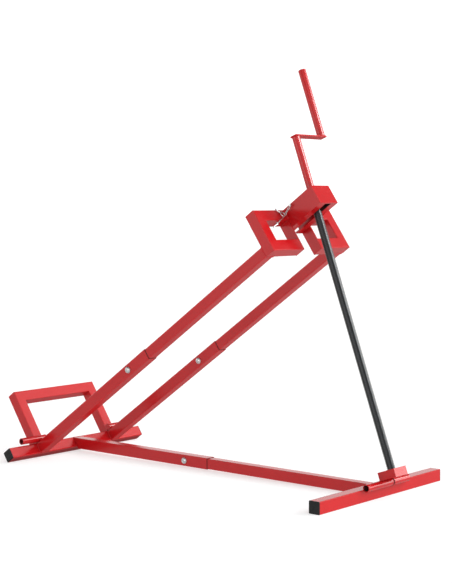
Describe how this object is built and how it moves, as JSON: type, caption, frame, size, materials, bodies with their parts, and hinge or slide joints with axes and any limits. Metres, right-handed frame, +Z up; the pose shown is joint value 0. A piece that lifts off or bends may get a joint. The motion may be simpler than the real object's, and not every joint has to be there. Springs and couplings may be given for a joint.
{
  "type": "lawn mower lift jack",
  "caption": "Screw-operated lifting jack: a hinged tube frame with two open cradles is raised on a long beam base by a crank-turned screw.",
  "frame": {"origin": "on the ground, under the middle of the whole in X and Y, with the arms fully raised", "axes": "+X forward from the rear bar to the front bar, +Y to the left, +Z up"},
  "size_m": [1.2324, 0.502, 1.0392],
  "materials": {
    "red_coat": "red powder coat, half gloss",
    "black_plastic": "moulded black plastic",
    "zinc_steel": "bright zinc plate",
    "dark_steel": "blackened and oiled",
    "plain_steel": "machined"
  },
  "bodies": {
    "base": {"rear_beam": "red_coat", "front_beam": "red_coat", "front_bar": "red_coat", "front_cap_left": "black_plastic", "front_cap_right": "black_plastic", "beam_bolt": "zinc_steel", "beam_nut": "zinc_steel", "hinge_ear_left": "red_coat", "hinge_ear_right": "red_coat", "hinge_pin": "zinc_steel", "fixed_sleeve": "red_coat", "sleeve_seat": "red_coat", "foot_pin": "dark_steel"},
    "lift_frame": {"rear_bar": "red_coat", "rear_cap_left": "black_plastic", "rear_cap_right": "black_plastic", "hinge_knuckle": "red_coat", "lower_arm_left": "red_coat", "lower_arm_right": "red_coat", "upper_arm_left": "red_coat", "upper_arm_right": "red_coat", "arm_bolt_left": "zinc_steel", "arm_bolt_right": "zinc_steel", "arm_nut_left": "zinc_steel", "arm_nut_right": "zinc_steel", "cradle_post_left": "red_coat", "cradle_post_right": "red_coat", "cradle_foot_left": "red_coat", "cradle_foot_right": "red_coat", "cradle_rail_left": "red_coat", "cradle_rail_right": "red_coat", "cradle_plate_left": "red_coat", "cradle_plate_right": "red_coat", "head_side_left": "red_coat", "head_side_right": "red_coat", "trunnion_plate_left": "red_coat", "trunnion_plate_right": "red_coat", "head_top": "red_coat", "head_face": "red_coat", "bracket_leg_left": "red_coat", "bracket_leg_right": "red_coat", "bracket_bar": "red_coat", "socket_left": "red_coat", "socket_right": "red_coat", "chain_rivet": "zinc_steel", "keeper_chain": "zinc_steel", "safety_clip": "zinc_steel"},
    "swing_foot": {"foot_sleeve": "red_coat", "foot_block": "red_coat", "foot_gusset": "red_coat", "thrust_washer": "zinc_steel"},
    "crank_screw": {"screw": "dark_steel", "screw_retainer": "zinc_steel", "crank_tube": "red_coat", "crank_pin": "red_coat", "crank_plate": "red_coat", "crank_handle": "red_coat"},
    "lift_nut": {"trunnion_nut": "plain_steel"}
  },
  "joints": [
    {"name": "lift", "type": "hinge", "parent": "base", "child": "lift_frame", "pos_m": [-0.49878, 0, 0.03492], "axis": [0, 1, 0], "range_deg": [0, 34]},
    {"name": "foot_swing", "type": "hinge", "parent": "base", "child": "swing_foot", "pos_m": [0.57219, 0, 0.03461], "axis": [0, 1, 0], "range_deg": [0, 17]},
    {"name": "crank_turn", "type": "hinge", "parent": "swing_foot", "child": "crank_screw", "pos_m": [0.36149, 0, 0.71458], "axis": [-0.3305, 0, 0.9438], "range_deg": [0, 56310]},
    {"name": "nut_tilt", "type": "hinge", "parent": "lift_frame", "child": "lift_nut", "pos_m": [0.36149, 0, 0.71458], "axis": [0, 1, 0], "range_deg": [-17, 0]}
  ],
  "couplings": [
    {"joint": "crank_turn", "follows": "lift", "ratio": 1656.1},
    {"joint": "foot_swing", "follows": "lift", "ratio": 0.5},
    {"joint": "nut_tilt", "follows": "lift", "ratio": -0.5}
  ]
}
